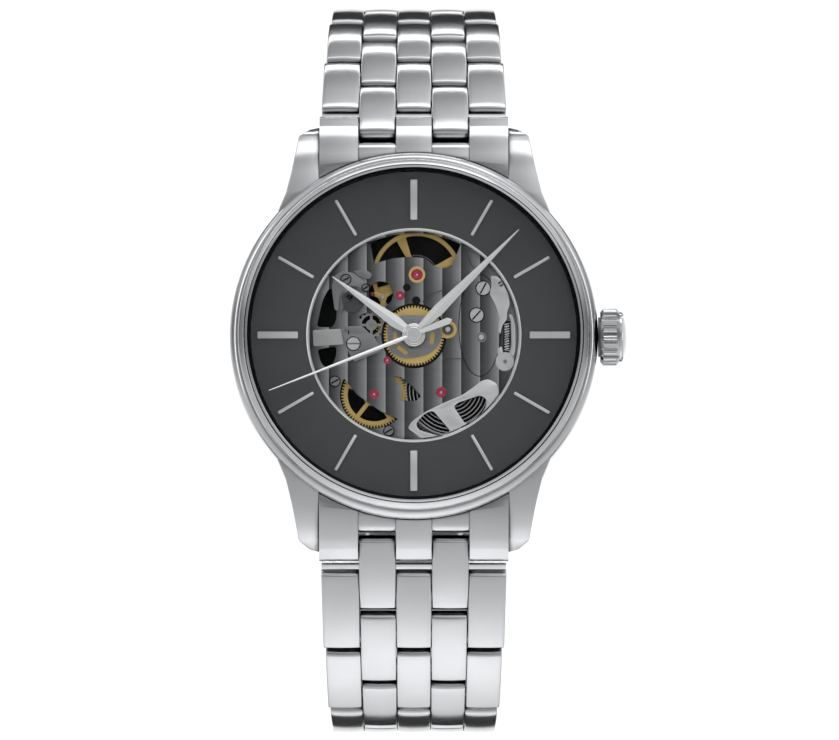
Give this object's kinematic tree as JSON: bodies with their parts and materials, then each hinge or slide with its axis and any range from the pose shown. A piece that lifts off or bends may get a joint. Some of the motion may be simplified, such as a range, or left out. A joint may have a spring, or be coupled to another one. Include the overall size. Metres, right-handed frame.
{
  "type": "wristwatch",
  "caption": "Round steel automatic wristwatch with an open-worked dial, a display back and a tapering bracelet that closes with a folding clasp.",
  "frame": {"origin": "centre of the case back's outer face", "axes": "+Z towards 12 o'clock, +X towards 3 o'clock and the crown, +Y out of the case back into the wrist; the dial faces -Y"},
  "size_m": [0.042, 0.0568, 0.0801],
  "materials": {
    "polished_steel": "polished stainless steel",
    "satin_steel": "fine satin stainless steel",
    "sapphire": "clear polished sapphire",
    "dial": "anthracite satin lacquer",
    "gilt": "gilt brass",
    "nickel": "striped nickel plating"
  },
  "bodies": {
    "case": {"case_middle": "satin_steel", "bezel": "polished_steel", "crystal": "sapphire", "case_back": "satin_steel", "case_back_crystal": "sapphire", "end_link_12": "polished_steel", "end_link_6": "polished_steel", "spring_bar_12": "polished_steel", "spring_bar_6": "polished_steel", "dial": "dial", "main_plate": "nickel", "train_bridge": "nickel", "balance_cock": "nickel", "movement_ring": "nickel"},
    "stem": {"winding_stem": "polished_steel"},
    "crown": {"crown": "polished_steel"},
    "seconds": {"seconds_hand": "polished_steel", "fourth_wheel": "gilt"},
    "minutes": {"minute_hand": "polished_steel", "centre_wheel": "gilt"},
    "hours": {"hour_hand": "polished_steel", "hour_wheel": "gilt"},
    "third_wheel": {"third_wheel": "gilt"},
    "escape_wheel": {"escape_wheel": "polished_steel"},
    "barrel": {"barrel": "polished_steel"},
    "balance": {"balance_wheel": "gilt"},
    "pallet_fork": {"pallet_fork": "gilt"},
    "rotor": {"rotor": "nickel"},
    "clasp_cover": {"clasp_cover": "polished_steel"},
    "clasp_blade_outer": {"clasp_blade_outer": "satin_steel"},
    "clasp_blade_inner": {"clasp_blade_inner": "satin_steel"},
    "clasp_button_left": {"clasp_button_left": "polished_steel"},
    "clasp_button_right": {"clasp_button_right": "polished_steel"},
    "link_12_01": {"link_12_01": "polished_steel"},
    "link_12_02": {"link_12_02": "polished_steel"},
    "link_12_03": {"link_12_03": "polished_steel"},
    "link_12_04": {"link_12_04": "polished_steel"},
    "link_12_05": {"link_12_05": "polished_steel"},
    "link_12_06": {"link_12_06": "polished_steel"},
    "link_12_07": {"link_12_07": "polished_steel"},
    "link_12_08": {"link_12_08": "polished_steel"},
    "link_12_09": {"link_12_09": "polished_steel"},
    "link_12_10": {"link_12_10": "polished_steel"},
    "link_12_11": {"link_12_11": "polished_steel"},
    "link_12_12": {"link_12_12": "polished_steel"},
    "link_12_13": {"link_12_13": "polished_steel"},
    "link_6_01": {"link_6_01": "polished_steel"},
    "link_6_02": {"link_6_02": "polished_steel"},
    "link_6_03": {"link_6_03": "polished_steel"},
    "link_6_04": {"link_6_04": "polished_steel"},
    "link_6_05": {"link_6_05": "polished_steel"},
    "link_6_06": {"link_6_06": "polished_steel"},
    "link_6_07": {"link_6_07": "polished_steel"},
    "link_6_08": {"link_6_08": "polished_steel"},
    "link_6_09": {"link_6_09": "polished_steel"},
    "link_6_10": {"link_6_10": "polished_steel"},
    "link_6_11": {"link_6_11": "polished_steel"},
    "link_6_12": {"link_6_12": "polished_steel"},
    "link_6_13": {"link_6_13": "polished_steel"}
  },
  "joints": [
    {"name": "link_12_01_hinge", "type": "hinge", "parent": "case", "child": "link_12_01", "pos_m": [0, -0.00255, 0.0223], "axis": [1, 0, 0], "range_deg": [0, 40]},
    {"name": "link_12_02_hinge", "type": "hinge", "parent": "link_12_01", "child": "link_12_02", "pos_m": [0, 0.00098, 0.02548], "axis": [1, 0, 0], "range_deg": [0, 5]},
    {"name": "link_12_03_hinge", "type": "hinge", "parent": "link_12_02", "child": "link_12_03", "pos_m": [0, 0.00462, 0.02853], "axis": [1, 0, 0], "range_deg": [0, 6]},
    {"name": "link_12_04_hinge", "type": "hinge", "parent": "link_12_03", "child": "link_12_04", "pos_m": [0, 0.00841, 0.03139], "axis": [1, 0, 0], "range_deg": [0, 8]},
    {"name": "link_12_05_hinge", "type": "hinge", "parent": "link_12_04", "child": "link_12_05", "pos_m": [0, 0.01244, 0.03391], "axis": [1, 0, 0], "range_deg": [0, 11]},
    {"name": "link_12_06_hinge", "type": "hinge", "parent": "link_12_05", "child": "link_12_06", "pos_m": [0, 0.01678, 0.03584], "axis": [1, 0, 0], "range_deg": [0, 12]},
    {"name": "link_12_07_hinge", "type": "hinge", "parent": "link_12_06", "child": "link_12_07", "pos_m": [0, 0.02137, 0.03707], "axis": [1, 0, 0], "range_deg": [0, 14]},
    {"name": "link_12_08_hinge", "type": "hinge", "parent": "link_12_07", "child": "link_12_08", "pos_m": [0, 0.02611, 0.0374], "axis": [1, 0, 0], "range_deg": [0, 15]},
    {"name": "link_12_09_hinge", "type": "hinge", "parent": "link_12_08", "child": "link_12_09", "pos_m": [0, 0.03081, 0.03674], "axis": [1, 0, 0], "range_deg": [0, 16]},
    {"name": "link_12_10_hinge", "type": "hinge", "parent": "link_12_09", "child": "link_12_10", "pos_m": [0, 0.03524, 0.03504], "axis": [1, 0, 0], "range_deg": [0, 17]},
    {"name": "link_12_11_hinge", "type": "hinge", "parent": "link_12_10", "child": "link_12_11", "pos_m": [0, 0.03914, 0.03231], "axis": [1, 0, 0], "range_deg": [0, 17]},
    {"name": "link_12_12_hinge", "type": "hinge", "parent": "link_12_11", "child": "link_12_12", "pos_m": [0, 0.04225, 0.02873], "axis": [1, 0, 0], "range_deg": [0, 17]},
    {"name": "link_12_13_hinge", "type": "hinge", "parent": "link_12_12", "child": "link_12_13", "pos_m": [0, 0.04441, 0.0245], "axis": [1, 0, 0], "range_deg": [0, 15]},
    {"name": "link_6_01_hinge", "type": "hinge", "parent": "case", "child": "link_6_01", "pos_m": [0, -0.00255, -0.0223], "axis": [-1, 0, 0], "range_deg": [0, 26]},
    {"name": "link_6_02_hinge", "type": "hinge", "parent": "link_6_01", "child": "link_6_02", "pos_m": [0, -0.00017, -0.02641], "axis": [-1, 0, 0], "range_deg": [0, 5]},
    {"name": "link_6_03_hinge", "type": "hinge", "parent": "link_6_02", "child": "link_6_03", "pos_m": [0, 0.00234, -0.03044], "axis": [-1, 0, 0], "range_deg": [0, 15]},
    {"name": "link_6_04_hinge", "type": "hinge", "parent": "link_6_03", "child": "link_6_04", "pos_m": [0, 0.00564, -0.03386], "axis": [-1, 0, 0], "range_deg": [0, 12]},
    {"name": "link_6_05_hinge", "type": "hinge", "parent": "link_6_04", "child": "link_6_05", "pos_m": [0, 0.00944, -0.03672], "axis": [-1, 0, 0], "range_deg": [0, 16]},
    {"name": "link_6_06_hinge", "type": "hinge", "parent": "link_6_05", "child": "link_6_06", "pos_m": [0, 0.01377, -0.03865], "axis": [-1, 0, 0], "range_deg": [0, 17]},
    {"name": "link_6_07_hinge", "type": "hinge", "parent": "link_6_06", "child": "link_6_07", "pos_m": [0, 0.01845, -0.03947], "axis": [-1, 0, 0], "range_deg": [0, 16]},
    {"name": "link_6_08_hinge", "type": "hinge", "parent": "link_6_07", "child": "link_6_08", "pos_m": [0, 0.0232, -0.03923], "axis": [-1, 0, 0], "range_deg": [0, 16]},
    {"name": "link_6_09_hinge", "type": "hinge", "parent": "link_6_08", "child": "link_6_09", "pos_m": [0, 0.02776, -0.03792], "axis": [-1, 0, 0], "range_deg": [0, 16]},
    {"name": "link_6_10_hinge", "type": "hinge", "parent": "link_6_09", "child": "link_6_10", "pos_m": [0, 0.03192, -0.03561], "axis": [-1, 0, 0], "range_deg": [0, 16]},
    {"name": "link_6_11_hinge", "type": "hinge", "parent": "link_6_10", "child": "link_6_11", "pos_m": [0, 0.03545, -0.03244], "axis": [-1, 0, 0], "range_deg": [0, 16]},
    {"name": "link_6_12_hinge", "type": "hinge", "parent": "link_6_11", "child": "link_6_12", "pos_m": [0, 0.03817, -0.02854], "axis": [-1, 0, 0], "range_deg": [0, 15]},
    {"name": "link_6_13_hinge", "type": "hinge", "parent": "link_6_12", "child": "link_6_13", "pos_m": [0, 0.04003, -0.02417], "axis": [-1, 0, 0], "range_deg": [0, 14]},
    {"name": "clasp_cover_hinge", "type": "hinge", "parent": "link_12_13", "child": "clasp_cover", "pos_m": [0, 0.04564, 0.01991], "axis": [1, 0, 0], "range_deg": [0, 24]},
    {"name": "clasp_blade_outer_hinge", "type": "hinge", "parent": "clasp_cover", "child": "clasp_blade_outer", "pos_m": [0, 0.04102, -0.01479], "axis": [1, 0, 0], "range_deg": [0, 75]},
    {"name": "clasp_blade_inner_hinge", "type": "hinge", "parent": "clasp_blade_outer", "child": "clasp_blade_inner", "pos_m": [0, 0.0446, 0.01359], "axis": [-1, 0, 0], "range_deg": [0, 100]},
    {"name": "clasp_button_left_push", "type": "slide", "parent": "clasp_cover", "child": "clasp_button_left", "axis": [1, 0, 0], "range_m": [0, 0.0006], "stiffness_N_per_m": 400},
    {"name": "clasp_button_right_push", "type": "slide", "parent": "clasp_cover", "child": "clasp_button_right", "axis": [-1, 0, 0], "range_m": [0, 0.0006], "stiffness_N_per_m": 400},
    {"name": "crown_pull", "type": "slide", "parent": "case", "child": "stem", "axis": [1, 0, 0], "range_m": [0, 0.0012]},
    {"name": "crown_turn", "type": "hinge", "parent": "stem", "child": "crown", "pos_m": [0.02, -0.0042, 0], "axis": [1, 0, 0], "continuous": true},
    {"name": "seconds_turn", "type": "hinge", "parent": "case", "child": "seconds", "pos_m": [0, 0, 0], "axis": [0, 1, 0], "continuous": true},
    {"name": "minutes_turn", "type": "hinge", "parent": "case", "child": "minutes", "pos_m": [0, 0, 0], "axis": [0, 1, 0], "continuous": true},
    {"name": "hours_turn", "type": "hinge", "parent": "case", "child": "hours", "pos_m": [0, 0, 0], "axis": [0, 1, 0], "continuous": true},
    {"name": "third_wheel_turn", "type": "hinge", "parent": "case", "child": "third_wheel", "pos_m": [-0.0042, 0, -0.0062], "axis": [0, 1, 0], "continuous": true},
    {"name": "escape_wheel_turn", "type": "hinge", "parent": "case", "child": "escape_wheel", "pos_m": [-0.0045, 0, 0.0013], "axis": [0, 1, 0], "continuous": true},
    {"name": "barrel_turn", "type": "hinge", "parent": "case", "child": "barrel", "pos_m": [0.004, 0, -0.0056], "axis": [0, 1, 0], "continuous": true},
    {"name": "balance_swing", "type": "hinge", "parent": "case", "child": "balance", "pos_m": [0.00033, 0, 0.0065], "axis": [0, 1, 0], "range_deg": [-140, 140], "stiffness_Nm_per_rad": 0.000001},
    {"name": "pallet_rock", "type": "hinge", "parent": "case", "child": "pallet_fork", "pos_m": [-0.0033, 0, 0.0042], "axis": [0, 1, 0], "range_deg": [-5, 5]},
    {"name": "rotor_turn", "type": "hinge", "parent": "case", "child": "rotor", "pos_m": [0, 0, 0], "axis": [0, 1, 0], "continuous": true}
  ],
  "couplings": [
    {"joint": "minutes_turn", "follows": "seconds_turn", "ratio": 0.016667},
    {"joint": "hours_turn", "follows": "seconds_turn", "ratio": 0.0013889},
    {"joint": "third_wheel_turn", "follows": "seconds_turn", "ratio": -0.13333},
    {"joint": "escape_wheel_turn", "follows": "seconds_turn", "ratio": -10},
    {"joint": "barrel_turn", "follows": "seconds_turn", "ratio": -0.0025}
  ]
}
